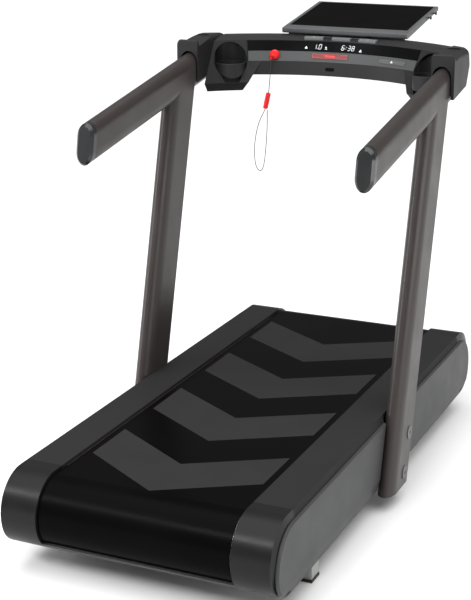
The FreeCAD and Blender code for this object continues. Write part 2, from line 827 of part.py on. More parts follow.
def handrails():
    width = cell("tube_width")
    height = cell("handrail_height")
    crown = cell("handrail_crown")
    rear = cell("cap_rear")
    seam = cell("cap_seam")
    bar = handrail_bar(0, cell("handrail_length"), width, height, crown, hollow=cell("tube_wall"))
    both_sides(cut(bar, slanted(seam, False)), "handrail")
    plug = cut(handrail_bar(-40, 160, width, height, crown), fuse([slanted(rear, False), slanted(seam, True)]))
    doc.recompute()
    chamfer = doc.addObject("Part::Chamfer", "CapRim")
    chamfer.Base = plug
    plane = Placement(Vector(0, rear, 0), Rotation(X_AXIS, -cell("cap_slant")))
    frame = handrail_frame().multiply(plane).inverse()
    rim = []
    for index, edge in enumerate(plug.Shape.Edges, start=1):
        if abs(frame.multVec(edge.CenterOfMass).y) < 0.01:
            rim.append((index, 8.0, 8.0))
    chamfer.Edges = rim
    part(pair(chamfer), "handrail_caps")


# ---------------------------------------------------------------- console
FACE_FOOT = (585.0, 1231.5)          # radius and height where the sloping face starts
FACE_HEAD = (613.5, 1298.0)          # and where it ends, at the top ledge
FACE_SLOPE = (FACE_HEAD[0] - FACE_FOOT[0]) / (FACE_HEAD[1] - FACE_FOOT[1])


def face_radius(height):
    return FACE_FOOT[0] + (height - FACE_FOOT[1]) * FACE_SLOPE


def face_band(low, high, depth, proud=0.0):
    """Section of a band on the sloping face, from proud of it to a depth inside it."""
    return plain([
        (face_radius(low) - proud, low), (face_radius(low) + depth, low),
        (face_radius(high) + depth, high), (face_radius(high) - proud, high),
    ])


HOUSING_SECTION = [(face_radius(1166), 1166, 0), (*FACE_HEAD, 0), (650, 1308, 0), (684.6, 1311, 5), (690, 1298, 5),
                   (657, 1195, 8), (650, 1138, 10), (572, 1138, 0)]
CAVITY_SECTION = [(583, 1194), (590, 1228), (620, 1292), (652, 1303), (678, 1305), (683, 1297), (654, 1203),
                  (652, 1194)]
BEAM_BOTTOM = 1188.5
FASCIA_FOOT = (577.0, BEAM_BOTTOM)
HOUSING_HALF_ANGLE = 58.0
WING_START = 26.9                    # where the wings' sloping inner ends cross the middle of their depth


def radial_frame(angle):
    """Local X points outward from the console's axis at this angle, local Z is up."""
    return Placement(Vector(0, cell("console_axis_y"), 0), Rotation(Z_AXIS, 90 - angle))


def wing_side():
    """Everything beyond the plane on which the right wing's inner end slopes up to the beam."""
    block = box(400, 600, 800, Vector(400, -600, -400))
    tilt = Placement(Vector(0, 0, 1199), Rotation(X_AXIS, -33.5))
    block.Placement = radial_frame(WING_START).multiply(tilt).multiply(block.Placement)
    return block


def housing():
    """The console's outside: a beam swept round the runner, with a deeper wing at each end."""
    whole = swept_round(rounded(HOUSING_SECTION), -HOUSING_HALF_ANGLE, HOUSING_HALF_ANGLE)
    under = swept_round(plain([(500, FACE_FOOT[1]), FACE_FOOT, FASCIA_FOOT, (720, BEAM_BOTTOM), (720, 1100),
                               (500, 1100)]), -45, 45)
    side = wing_side()
    middle = cut(under, fuse([side, mirror(side)]))
    outside = box(400, 900, 400, Vector(cell("ear_inner") + 1.6, -100, 1000))
    return cut(whole, fuse([middle, outside, mirror(outside)]))


def cup_tools(grow):
    """Upright cylinder of the cup and the round window in front of it."""
    frame = radial_frame(cell("cup_angle"))
    radius = cell("cup_radius") + grow
    axis_radius = cell("cup_axis_radius")
    well = rod(radius, 200, Vector(axis_radius, 0, cell("cup_floor") - grow))
    well.Placement = frame.multiply(well.Placement)
    window = rod("{window_radius}", 400, Vector(axis_radius - 200, 0, cell("window_centre")), ALONG_X)
    window.Placement = frame.multiply(window.Placement)
    mouth = rod("{window_radius}", 200, Vector(axis_radius - 200, 0, cell("window_centre")), ALONG_X)
    mouth.Placement = frame.multiply(mouth.Placement)
    return well, window, mouth


def console():
    well, window, mouth = cup_tools(1.0)
    below_window = box(400, 400, 70, Vector(400, -200, cell("cup_floor") - 1))
    below_window.Placement = radial_frame(cell("cup_angle")).multiply(below_window.Placement)
    pocket = fuse([common([well, window]), mouth, common([well, below_window])])
    cavity = swept_round(plain(CAVITY_SECTION), -26, 26)
    recess = swept_round(face_band(FACE_FOOT[1] + 1, FACE_HEAD[1] - 1.5, 5.0, 3.0), -29.2, 29.2)
    tools = fuse([pocket, mirror(pocket), cavity, recess] + preset_slots() + key_slots())
    part(cut(housing(), tools), "console_shell")


EAR_NOSE = [(300, 1150, 0), (640, 1150, 0), (672, 1205, 10), (692, 1262, 20), (680, 1320, 24), (300, 1330, 0)]


def console_ears():
    """Saddles at the console's ends that cover the handrails' front ends."""
    inner = cell("ear_inner") + 2.2
    outer = cell("ear_outer")
    rear = cell("ear_rear")
    height = cell("handrail_height")
    width = cell("tube_width")
    profile = rounded([(rear, 1178, 3), (rear + 250, 1222, 0), (rear + 250, 1314, 0), (rear + 100, 1320, 60),
                       (rear, 1312, 4)])
    block = along_x(profile, inner, outer)
    nose = swept_round(rounded(EAR_NOSE), 20, 65)
    drop = 50.0
    gap = cell("ear_gap")
    tunnel = handrail_bar(640, cell("handrail_length") - 637, width + 6,
                          height + gap + 2 * drop, cell("handrail_crown") + 2, centre=gap / 2 - drop)
    well = cup_tools(0.5)[0]
    arch = along_y(rounded([(inner, 1150, 0), (outer, 1150, 0), (outer, 1311, 24), (428, 1323, 40),
                            (inner, 1313, 16)]), rear - 1, 700)
    slope = box(200, 110, 60, Vector(inner - 20, rear + 12, 1293), Rotation(X_AXIS, 11.6))
    part(pair(cut(common([block, nose, arch]), fuse([tunnel, well, slope]))), "console_ears")


def cup_liners():
    """Rubber cups whose front stands out through the round windows."""
    frame = radial_frame(cell("cup_angle"))
    radius = cell("cup_radius")
    floor = cell("cup_floor")
    height = cell("cup_lip") - floor
    profile = rounded([(0, 0, 0), (radius, 0, 0), (radius, height, 2), (radius - 4, height, 1.5),
                       (radius - 4, 4, 3), (0, 4, 0)])
    cup = turned(profile, Vector(0, 0, 0))
    cup.Placement = frame.multiply(Placement(Vector(cell("cup_axis_radius"), 0, floor), Rotation()))
    front = rod("{window_radius} - 0.5", 200, Vector(cell("cup_axis_radius") - 200, 0, cell("window_centre")),
                ALONG_X)
    front.Placement = frame.multiply(front.Placement)
    inside = swept_round(rounded(HOUSING_SECTION), 20, HOUSING_HALF_ANGLE)
    part(pair(common([cup, fuse([front, inside])])), "cup_liners")


STRIP_SPLIT = 1264.0                 # the grey strip is below this height, the display above
STOP_SPAN = (-8.5, 3.3)
SPEED_SPAN = (14.6, 24.7)
STOP_HEIGHTS = (1243.0, 1258.5)
SPEED_HEIGHTS = (1243.5, 1256.5)
KEY_GAP = 0.4
KEY_GAP_ANGLE = 0.06


def key_slots():
    """Openings through the strip and the wall behind it for the two pressed keys."""
    slots = []
    for span, heights in ((STOP_SPAN, STOP_HEIGHTS), (SPEED_SPAN, SPEED_HEIGHTS)):
        slots.append(swept_round(face_band(heights[0] - KEY_GAP, heights[1] + KEY_GAP, 12.0, 3.0),
                                 span[0] - KEY_GAP_ANGLE, span[1] + KEY_GAP_ANGLE))
    return slots


def console_face():
    strip = swept_round(face_band(FACE_FOOT[1] + 1.3, STRIP_SPLIT - 0.3, 4.0), -28.9, 28.9)
    part(cut(strip, fuse(key_slots())), "console_face")
    window = swept_round(face_band(STRIP_SPLIT + 0.3, FACE_HEAD[1] - 1.8, 4.0), -28.9, 28.9)
    part(window, "display_window")


def face_keys():
    """Stop bar and speed pad: plates that stand a little proud of the grey strip."""
    stop = swept_round(face_band(STOP_HEIGHTS[0], STOP_HEIGHTS[1], 5.0, 1.6), STOP_SPAN[0], STOP_SPAN[1])
    part(stop, "stop_bar")
    speed = swept_round(face_band(SPEED_HEIGHTS[0], SPEED_HEIGHTS[1], 5.0, 1.6), SPEED_SPAN[0], SPEED_SPAN[1])
    part(speed, "speed_pad")


PRESETS = (("left", -8.6), ("middle", 0.0), ("right", 8.6))
PRESET_HALF = 2.9                    # degrees
PRESET_RADII = (618.0, 634.0)


def preset_slots():
    slots = []
    for _, angle in PRESETS:
        edges = rectangle(PRESET_RADII[0] - KEY_GAP, 1290, PRESET_RADII[1] + KEY_GAP, 1330)
        slots.append(swept_round(edges, angle - PRESET_HALF - KEY_GAP_ANGLE, angle + PRESET_HALF + KEY_GAP_ANGLE))
    return slots


def preset_keys():
    for name, angle in PRESETS:
        edges = rounded([(PRESET_RADII[0], 1298, 0), (PRESET_RADII[1], 1298, 0), (PRESET_RADII[1], 1310, 1.5),
                         (PRESET_RADII[0], 1307, 1.5)])
        part(swept_round(edges, angle - PRESET_HALF, angle + PRESET_HALF), "preset_key_" + name)


# ---------------------------------------------------------------- device tray
TRAY_NEAR = (593.6, 1330.0)
TRAY_FAR = (938.0, 1385.5)
LUG_STARTS = (-94.0, 80.0)
LUG_WIDTH = 14.0


def tray():
    """Plate with a recessed mat, notched underneath for the hinge lugs along its near edge."""
    half = cell("tray_half_width")
    hinge_y = cell("tray_hinge_y")
    hinge_z = cell("tray_hinge_z")
    profile = rounded([(596.5, 1312.0, 8), (TRAY_FAR[0], 1372.5, 2), (*TRAY_FAR, 2), (*TRAY_NEAR, 2)])
    plate = along_x(profile, -half, half)
    frame = Placement(Vector(0, TRAY_NEAR[0], TRAY_NEAR[1]), Rotation(X_AXIS, cell("tray_tilt")))
    depth = math.hypot(TRAY_FAR[0] - TRAY_NEAR[0], TRAY_FAR[1] - TRAY_NEAR[1])
    recess = box(2 * half - 24, depth - 52, 10, Vector(12 - half, 42, -3))
    recess.Placement = frame.multiply(recess.Placement)
    tools = [recess, rod("{hinge_pin_radius} + {running_clearance}", 252, Vector(-126, hinge_y, hinge_z), ALONG_X)]
    for start in LUG_STARTS:
        tools.append(box(LUG_WIDTH + 1, 46, 30, Vector(start - 0.5, hinge_y - 8.5, hinge_z - 21.5)))
    part(cut(plate, fuse(tools)), "tray_frame")
    mat = box(2 * half - 25, depth - 53, 3.2, Vector(12.5 - half, 42.5, -3))
    mat.Placement = frame.multiply(mat.Placement)
    part(mat, "tray_mat")


def tray_bracket():
    """Lugs on top of the console, with the tray's hinge pin through them."""
    y = cell("tray_hinge_y")
    z = cell("tray_hinge_z")
    pieces = [rod("{hinge_pin_radius}", 250, Vector(-125, y, z), ALONG_X)]
    for start in LUG_STARTS:
        pieces.append(rod(8.0, LUG_WIDTH, Vector(start, y, z), ALONG_X))
        pieces.append(along_x(plain([(y - 4, z - 4.5), (y + 6.4, z - 14.5), (y + 25, z - 14.5), (y + 4, z + 4.5)]),
                              start, start + LUG_WIDTH))
    part(cut(fuse(pieces), housing()), "tray_bracket")


# ---------------------------------------------------------------- safety key and lanyard
CORD_ROUTE = [                       # X and Z of the cord's points; it hangs in one plane
    (-209.4, 1240.0), (-212.2, 1189.0), (-217.0, 1136.0), (-221.5, 1097.0), (-232.5, 1067.0),
    (-250.5, 1034.0), (-263.0, 989.0), (-268.8, 940.0), (-267.0, 902.0), (-263.0, 880.0),
    (-255.0, 866.0), (-243.5, 862.5), (-236.0, 875.0), (-231.0, 899.0), (-227.0, 938.0),
    (-223.6, 984.0), (-221.8, 1032.0), (-222.6, 1071.0),
]
CORD_Y = 484.0
SLIDER_TOP = (-218.3, 1127.5)
SLIDER_FOOT = (-229.5, 1076.0)


def cord_path(points):
    """Straight runs joined by tangent arcs, each as large as its two runs allow."""
    edges = []
    last = points[0]
    for i in range(1, len(points) - 1):
        back = points[i - 1] - points[i]
        ahead = points[i + 1] - points[i]
        turn = math.pi - back.getAngle(ahead)
        reach = 0.45 * min(back.Length, ahead.Length)
        radius = reach / math.tan(turn / 2)
        print("cord arc %2d: turn %5.1f deg, radius %6.1f mm" % (i, math.degrees(turn), radius))
        back.normalize()
        ahead.normalize()
        start = points[i] + back * reach
        end = points[i] + ahead * reach
        bisector = back + ahead
        bisector.normalize()
        middle = points[i] + bisector * (radius / math.cos(turn / 2) - radius)
        edges.append(Part.LineSegment(last, start).toShape())
        edges.append(Part.Arc(start, middle, end).toShape())
        last = end
    edges.append(Part.LineSegment(last, points[-1]).toShape())
    return Part.Wire(edges)


def face_normal(angle):
    """Unit vector out of the sloping face, towards the user."""
    lean = math.atan(FACE_SLOPE)
    side = math.radians(angle)
    return Vector(-math.cos(lean) * math.sin(side), -math.cos(lean) * math.cos(side), math.sin(lean))


def lanyard():
    angle = cell("key_angle")
    height = cell("key_height")
    reach = face_radius(height)
    side = math.radians(angle)
    seat = Vector(reach * math.sin(side), cell("console_axis_y") + reach * math.cos(side), height)
    normal = face_normal(angle)
    upright = Rotation(Z_AXIS, normal)
    radius = cell("key_radius")
    profile = rounded([(0, 0.8, 0), (radius - 3, 0.8, 0), (radius, 4, 1.5), (radius, 9, 3),
                       (radius - 6, 14, 4), (0, 14, 0)])
    knob = turned(profile, seat, upright)
    cord_radius = cell("cord_diameter") / 2
    points = [Vector(x, CORD_Y, z) for x, z in CORD_ROUTE]
    path = cord_path(points)
    start = path.Edges[0]
    ring = Part.Wire([Part.Circle(points[0], start.tangentAt(start.FirstParameter), cord_radius).toShape()])
    cord_shape = path.makePipeShell([ring], True, True)
    print("cord length %.1f mm, volume ratio %.4f"
          % (path.Length, cord_shape.Volume / (path.Length * math.pi * cord_radius ** 2)))
    hub = seat + normal * 8
    lug_top = points[0] + Vector(0, 0, 7)
    arm = rod(3.0, (lug_top - hub).Length, hub, Rotation(Z_AXIS, lug_top - hub))
    lug = rod(3.6, 11, points[0] + Vector(0, 0, 0.08))
    stem = rod(3.2, 7, seat + normal * 0.1, upright)
    doc.recompute()
    part(fuse([knob, stem, arm, lug]), "safety_key")
    slider_axis = Vector(SLIDER_TOP[0] - SLIDER_FOOT[0], 0, SLIDER_TOP[1] - SLIDER_FOOT[1])
    foot = Vector(SLIDER_FOOT[0], CORD_Y, SLIDER_FOOT[1])
    barrel = rounded([(0, 0, 0), (8, 0, 2), (8.5, slider_axis.Length / 2, 0), (8, slider_axis.Length, 2),
                      (0, slider_axis.Length, 0)])
    slider = turned(barrel, foot, Rotation(Z_AXIS, slider_axis))
    doc.recompute()
    cord = doc.addObject("Part::Feature", "Cord")
    cord.Shape = cord_shape.cut(slider.Shape)
    cord.Placement = Placement()
    part(cord, "lanyard_cord")
    part(slider, "lanyard_slider")


# ---------------------------------------------------------------- build and write
foot_rails()
rail_caps()
belt_lips()
side_panels()
base_pan()
frame_beams()
cross_members()
deck()
running_belt()
rear_roller()
front_roller()
motor()
drive_belt()
controller()
power_inlet()
rear_legs()
lift_legs()
transport_wheels()
uprights()
upright_fixings()
handrails()
console()
console_ears()
cup_liners()
console_face()
face_keys()
preset_keys()
tray()
tray_bracket()
lanyard()
power_switch()
doc.recompute()

for obj in doc.Objects:
    if "Invalid" in obj.State or "Error" in obj.State:
        raise RuntimeError("%s (%s) did not build: %s" % (obj.Name, obj.Label, obj.State))

os.makedirs("parts", exist_ok=True)
for obj in PARTS:
    shape = obj.Shape
    if shape.isNull() or not shape.isValid() or not shape.Solids:
        raise RuntimeError("%s has no valid solid" % obj.Label)
    shape.exportStep("parts/%s.step" % obj.Label)
print("%d parts" % len(PARTS))
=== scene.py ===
"""Looks of a motorised flat-deck treadmill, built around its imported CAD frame.  Metres; +Y is the running
direction, +X the runner's right and +Z up from the floor."""
import json
import math

import bpy
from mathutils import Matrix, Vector


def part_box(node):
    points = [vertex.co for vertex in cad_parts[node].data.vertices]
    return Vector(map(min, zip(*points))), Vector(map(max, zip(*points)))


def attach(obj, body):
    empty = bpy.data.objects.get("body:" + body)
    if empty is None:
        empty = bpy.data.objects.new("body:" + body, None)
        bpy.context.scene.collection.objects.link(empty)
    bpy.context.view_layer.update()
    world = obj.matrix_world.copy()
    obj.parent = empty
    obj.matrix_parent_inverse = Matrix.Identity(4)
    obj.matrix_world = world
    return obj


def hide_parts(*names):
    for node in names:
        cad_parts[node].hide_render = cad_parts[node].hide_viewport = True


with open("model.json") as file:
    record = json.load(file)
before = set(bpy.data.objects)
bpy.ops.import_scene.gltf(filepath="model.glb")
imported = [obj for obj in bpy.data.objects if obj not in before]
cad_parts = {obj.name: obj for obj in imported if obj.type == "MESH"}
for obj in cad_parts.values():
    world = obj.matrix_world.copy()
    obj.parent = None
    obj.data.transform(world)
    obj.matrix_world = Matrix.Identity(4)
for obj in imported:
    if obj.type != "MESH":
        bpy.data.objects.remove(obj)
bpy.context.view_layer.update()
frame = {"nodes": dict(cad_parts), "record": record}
NODES = frame["nodes"]
MM = 0.001


def link(thing):
    bpy.context.scene.collection.objects.link(thing)


# ---------------------------------------------------------------- camera
CAMERA_PLACE = (1.6651, -3.9650, 1.9214)
CAMERA_DOWN = 17.302    # degrees below level
CAMERA_TURN = 24.069    # degrees from +Y towards -X


def make_camera():
    data = bpy.data.cameras.new("camera")
    data.lens = 87.9
    data.sensor_width = 36
    data.shift_x = -0.0072
    data.shift_y = -0.0030
    data.clip_end = 400
    camera = bpy.data.objects.new("camera", data)
    camera.location = CAMERA_PLACE
    camera.rotation_euler = (math.radians(90 - CAMERA_DOWN), 0, math.radians(CAMERA_TURN))
    link(camera)
    bpy.context.scene.camera = camera


# ---------------------------------------------------------------- materials
NOISE_LOW = 0.3     # most of a noise's values lie between these two
NOISE_HIGH = 0.7
ROUGH_SPREAD = 0.05
BUMP_DEPTH = 0.3 * MM


def new_material(name):
    material = bpy.data.materials.new(name)
    material.use_nodes = True
    tree = material.node_tree
    shader = next(node for node in tree.nodes if node.type == "BSDF_PRINCIPLED")
    return material, tree, shader


def add_noise(tree, coordinate, scale, detail):
    noise = tree.nodes.new("ShaderNodeTexNoise")
    noise.inputs["Scale"].default_value = scale
    noise.inputs["Detail"].default_value = detail
    tree.links.new(coordinate, noise.inputs["Vector"])
    return noise.outputs["Fac"]


def add_tone(tree, shader, factor, color, spread):
    """Base colour that wanders a little either side of color."""
    ramp = tree.nodes.new("ShaderNodeValToRGB")
    low, high = ramp.color_ramp.elements
    low.position = NOISE_LOW
    high.position = NOISE_HIGH
    low.color = (*[channel * (1 - spread) for channel in color], 1)
    high.color = (*[channel * (1 + spread) for channel in color], 1)
    tree.links.new(factor, ramp.inputs["Fac"])
    tree.links.new(ramp.outputs["Color"], shader.inputs["Base Color"])


def add_roughness(tree, shader, factor, rough):
    """Roughness that wanders a little either side of rough."""
    spread = tree.nodes.new("ShaderNodeMapRange")
    spread.inputs["From Min"].default_value = NOISE_LOW
    spread.inputs["From Max"].default_value = NOISE_HIGH
    spread.inputs["To Min"].default_value = rough - ROUGH_SPREAD
    spread.inputs["To Max"].default_value = rough + ROUGH_SPREAD
    tree.links.new(factor, spread.inputs["Value"])
    tree.links.new(spread.outputs["Result"], shader.inputs["Roughness"])


def add_bump(tree, shader, height, strength):
    bump = tree.nodes.new("ShaderNodeBump")
    bump.inputs["Strength"].default_value = strength
    bump.inputs["Distance"].default_value = BUMP_DEPTH
    tree.links.new(height, bump.inputs["Height"])
    tree.links.new(bump.outputs["Normal"], shader.inputs["Normal"])


def grained(name, color, rough, grain, strength=0.25, spread=0.06, metal=0.0, gloss=0.5, stretch=(1, 1, 1)):
    """Moulded plastic, paint, rubber or metal with a fine grain; stretch draws the grain out along an axis."""
    material, tree, shader = new_material(name)
    shader.inputs["Metallic"].default_value = metal
    shader.inputs["Specular IOR Level"].default_value = gloss
    place = tree.nodes.new("ShaderNodeTexCoord")
    mapping = tree.nodes.new("ShaderNodeMapping")
    mapping.inputs["Scale"].default_value = stretch
    tree.links.new(place.outputs["Object"], mapping.inputs["Vector"])
    fine = add_noise(tree, mapping.outputs["Vector"], scale=grain, detail=3)
    broad = add_noise(tree, place.outputs["Object"], scale=9.0, detail=4)
    add_tone(tree, shader, broad, color, spread)
    add_roughness(tree, shader, broad, rough)
    add_bump(tree, shader, fine, strength)
    return material


def belt_weave(name, color, rough):
    """Running belt: a fine grid of raised lozenges, with a polish that wanders a little."""
    material, tree, shader = new_material(name)
    shader.inputs["Specular IOR Level"].default_value = 0.02
    place = tree.nodes.new("ShaderNodeTexCoord")
    turn = tree.nodes.new("ShaderNodeMapping")
    turn.inputs["Rotation"].default_value = (0, 0, math.radians(45))
    tree.links.new(place.outputs["Object"], turn.inputs["Vector"])
    cells = tree.nodes.new("ShaderNodeTexVoronoi")
    cells.inputs["Scale"].default_value = 420
    cells.inputs["Randomness"].default_value = 0.12
    cells.distance = "CHEBYCHEV"
    tree.links.new(turn.outputs["Vector"], cells.inputs["Vector"])
    broad = add_noise(tree, place.outputs["Object"], scale=5.0, detail=5)
    add_tone(tree, shader, broad, color, spread=0.1)
    add_roughness(tree, shader, broad, rough)
    add_bump(tree, shader, cells.outputs["Distance"], strength=0.3)
    return material


def glowing(name, color, strength):
    material, _, shader = new_material(name)
    shader.inputs["Base Color"].default_value = (*color, 1)
    shader.inputs["Emission Color"].default_value = (*color, 1)
    shader.inputs["Emission Strength"].default_value = strength
    return material


BRUSHED = (8, 0.3, 0.3)
FINISHES = {    # colour, roughness and grain's scale, then what differs from grained()'s defaults
    "rail_plastic": ((0.0165, 0.0165, 0.017), 0.62, 1400, {"strength": 0.5, "gloss": 0.1}),
    "cap_plastic": ((0.008, 0.008, 0.0085), 0.34, 2600, {"strength": 0.05, "gloss": 0.15}),
    "panel_plastic": ((0.037, 0.0375, 0.038), 0.48, 2000, {"strength": 0.15, "gloss": 0.25}),
    "chevron_ink": ((0.021, 0.021, 0.021), 0.7, 1500, {"strength": 0.4, "gloss": 0.06}),
    "frame_paint": ((0.02, 0.02, 0.022), 0.45, 1200, {"strength": 0.3}),
    "leg_metal": ((0.30, 0.31, 0.29), 0.4, 1600, {"strength": 0.2, "metal": 0.3}),
    "post_metal": ((0.031, 0.0256, 0.024), 0.36, 2400, {"strength": 0.08, "spread": 0.04, "gloss": 0.3}),
    "deck_board": ((0.06, 0.04, 0.03), 0.4, 60, {"stretch": (1, 0.1, 1)}),
    "steel": ((0.55, 0.55, 0.56), 0.28, 900, {"metal": 1.0, "stretch": BRUSHED}),
    "roller_steel": ((0.42, 0.42, 0.43), 0.3, 700, {"metal": 1.0, "stretch": BRUSHED}),
    "motor_metal": ((0.03, 0.03, 0.032), 0.4, 700, {"strength": 0.35}),
    "pulley_metal": ((0.6, 0.6, 0.61), 0.3, 900, {"metal": 1.0}),
    "rubber_black": ((0.014, 0.014, 0.0145), 0.5, 1500, {"gloss": 0.25}),
    "bolt_plastic": ((0.07, 0.067, 0.066), 0.4, 2000, {"strength": 0.15}),
    "cap_black": ((0.014, 0.015, 0.0155), 0.22, 2600, {"strength": 0.04}),
    "console_plastic": ((0.0145, 0.0145, 0.015), 0.42, 1800, {"strength": 0.2, "gloss": 0.2}),
    "face_grey": ((0.058, 0.060, 0.061), 0.45, 2200, {"strength": 0.12, "gloss": 0.3}),
    "display_gloss": ((0.003, 0.003, 0.0033), 0.2, 30, {"strength": 0.01, "gloss": 0.1}),
    "stop_red": ((0.45, 0.02, 0.02), 0.35, 2000, {"strength": 0.05}),
    "pad_grey": ((0.084, 0.086, 0.087), 0.4, 2200, {"strength": 0.1, "gloss": 0.3}),
    "key_grey": ((0.12, 0.123, 0.127), 0.4, 2000, {"strength": 0.1, "gloss": 0.3}),
    "key_red": ((0.62, 0.004, 0.006), 0.35, 2000, {"strength": 0.05, "gloss": 0.3}),
    "tray_grey": ((0.072, 0.074, 0.076), 0.4, 2200, {"strength": 0.12, "gloss": 0.35}),
    "tray_mat": ((0.0022, 0.0022, 0.0024), 0.75, 1500, {"strength": 0.3, "gloss": 0.03}),
    "cord_grey": ((0.022, 0.022, 0.022), 0.6, 3000, {"strength": 0.4}),
}


def make_materials():
    materials = {"belt_rubber": belt_weave("belt_rubber", (0.0018, 0.0018, 0.002), 0.3)}
    for name, (color, rough, grain, rest) in FINISHES.items():
        materials[name] = grained(name, color, rough, grain, **rest)
    return materials


def paint_cad_nodes():
    """Gives every CAD node the finish of its slot in the record.  The speed pad is lighter than its slot."""
    for entry in frame["record"]["subparts"]:
        for slot in NODES[entry["node"]].material_slots:
            slot.material = MATERIALS[entry["material_slot"]]
    NODES["speed_pad"].material_slots[0].material = MATERIALS["pad_grey"]


# ---------------------------------------------------------------- mesh helper
def prisms(name, pairs, material, body):
    """A piece made of one prism between each pair of matching rings of points, riding on a body."""
    points = []
    faces = []
    for lower, upper in pairs:
        start = len(points)
        count = len(lower)
        points.extend(tuple(point) for point in (*lower, *upper))
        faces.append([start + i for i in reversed(range(count))])
        faces.append([start + count + i for i in range(count)])
        for i in range(count):
            after = (i + 1) % count
            faces.append([start + i, start + after, start + count + after, start + count + i])
    mesh = bpy.data.meshes.new(name)
    mesh.from_pydata(points, [], faces)
    mesh.validate()
    mesh.materials.append(material)
    piece = bpy.data.objects.new(name, mesh)
    link(piece)
    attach(piece, body)


# ---------------------------------------------------------------- lanyard
CORD_Y = 0.484
CORD_ROUTE = [
    (-0.2094, 1.2400), (-0.2122, 1.1890), (-0.2170, 1.1360), (-0.2215, 1.0970), (-0.2325, 1.0670),
    (-0.2505, 1.0340), (-0.2630, 0.9890), (-0.2688, 0.9400), (-0.2670, 0.9020), (-0.2630, 0.8800),
    (-0.2550, 0.8660), (-0.2435, 0.8625), (-0.2360, 0.8750), (-0.2310, 0.8990), (-0.2270, 0.9380),
    (-0.2236, 0.9840), (-0.2218, 1.0320), (-0.2226, 1.0710),
]
CORD_DIAMETER = 0.0025


def make_cord():
    """The lanyard, in a plane across the machine: X and Z of its route from the key to the slider."""
    curve = bpy.data.curves.new("lanyard", "CURVE")
    curve.dimensions = "3D"
    curve.bevel_depth = CORD_DIAMETER / 2
    curve.bevel_resolution = 3
    curve.use_fill_caps = True
    spline = curve.splines.new("NURBS")
    spline.points.add(len(CORD_ROUTE) - 1)
    for point, (x, z) in zip(spline.points, CORD_ROUTE):
        point.co = (x, CORD_Y, z, 1)
    spline.order_u = 3
    spline.use_endpoint_u = True
    spline.resolution_u = 12
    curve.materials.append(MATERIALS["cord_grey"])
    cord = bpy.data.objects.new("lanyard", curve)
    link(cord)
    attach(cord, "key")
    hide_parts("lanyard_cord")


# ---------------------------------------------------------------- running belt
CHEVRON_ROWS = (-0.8265, -0.4576, -0.0931, 0.2732)   # Y of each chevron's point
CHEVRON_DEPTH = 0.190
CHEVRON_HALF = 0.260
CHEVRON_SWEEP = 0.160
INK_BELOW = 0.2 * MM
INK_ABOVE = 0.35 * MM


def make_chevrons():
    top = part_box("running_belt")[1].z
    outline = [(0, 0), (CHEVRON_HALF, CHEVRON_SWEEP), (CHEVRON_HALF, CHEVRON_SWEEP + CHEVRON_DEPTH),
               (0, CHEVRON_DEPTH), (-CHEVRON_HALF, CHEVRON_SWEEP + CHEVRON_DEPTH), (-CHEVRON_HALF, CHEVRON_SWEEP)]
    for number, row in enumerate(CHEVRON_ROWS, start=1):
        lower = [(x, row + y, top - INK_BELOW) for x, y in outline]
        upper = [(x, row + y, top + INK_ABOVE) for x, y in outline]
        prisms("chevron_%d" % number, [(lower, upper)], MATERIALS["chevron_ink"], "base")


# ---------------------------------------------------------------- console face
CONSOLE_AXIS_Y = -0.046
FACE_FOOT = (0.585, 1.2315)     # radius from the console's axis, and height
FACE_HEAD = (0.6135, 1.2980)
FACE_SLOPE = (FACE_HEAD[0] - FACE_FOOT[0]) / (FACE_HEAD[1] - FACE_FOOT[1])
FACE_LEAN = math.atan(FACE_SLOPE)
ON_FACE = 0.1       # millimetres off the face
ON_KEY = 1.6
MARK_BELOW = 0.1
MARK_ABOVE = 0.25


def face_point(degrees, height, lift):
    """Point on the console's sloping face, lifted off it towards the runner."""
    side = math.radians(degrees)
    radius = FACE_FOOT[0] + (height - FACE_FOOT[1]) * FACE_SLOPE
    normal = Vector((-math.cos(FACE_LEAN) * math.sin(side), -math.cos(FACE_LEAN) * math.cos(side),
                     math.sin(FACE_LEAN)))
    return Vector((radius * math.sin(side), CONSOLE_AXIS_Y + radius * math.cos(side), height)) + normal * lift


def face_marks(name, degrees, height, outlines, material, body="base", lift=ON_FACE):
    """Flat marks on the face; outlines are in millimetres to the right of and above a point on it."""
    radius = FACE_FOOT[0] + (height - FACE_FOOT[1]) * FACE_SLOPE

    def place(u, v, up):
        angle = degrees + math.degrees(u * MM / radius)
        return face_point(angle, height + v * MM * math.cos(FACE_LEAN), up * MM)

    pairs = []
    for outline in outlines:
        lower = [place(u, v, lift - MARK_BELOW) for u, v in outline]
        upper = [place(u, v, lift + MARK_ABOVE) for u, v in outline]
        pairs.append((lower, upper))
    prisms(name, pairs, material, body)


DIGIT_WIDTH = 8.0
DIGIT_HEIGHT = 15.5
STROKE = 1.2
STROKE_GAP = 0.35
SLANT = 0.16
SEGMENTS = {"0": "abcdef", "1": "bc", "3": "abgcd", "6": "afgcde", "8": "abcdefg"}
SEGMENT_ENDS = {
    "a": ((0, 1), (1, 1)), "g": ((0, 0.5), (1, 0.5)), "d": ((0, 0), (1, 0)),
    "f": ((0, 0.5), (0, 1)), "b": ((1, 0.5), (1, 1)), "e": ((0, 0), (0, 0.5)), "c": ((1, 0), (1, 0.5)),
}


def segment_outline(letter):
    """One stroke of a seven-segment digit, as a long hexagon."""
    (x0, y0), (x1, y1) = [(x * DIGIT_WIDTH, y * DIGIT_HEIGHT) for x, y in SEGMENT_ENDS[letter]]
    length = math.hypot(x1 - x0, y1 - y0)
    ax, ay = (x1 - x0) / length, (y1 - y0) / length
    half = STROKE / 2
    near = STROKE_GAP
    far = length - STROKE_GAP
    hexagon = [(near, 0), (near + half, -half), (far - half, -half), (far, 0), (far - half, half),
               (near + half, half)]
    return [(x0 + along * ax - across * ay, y0 + along * ay + across * ax) for along, across in hexagon]


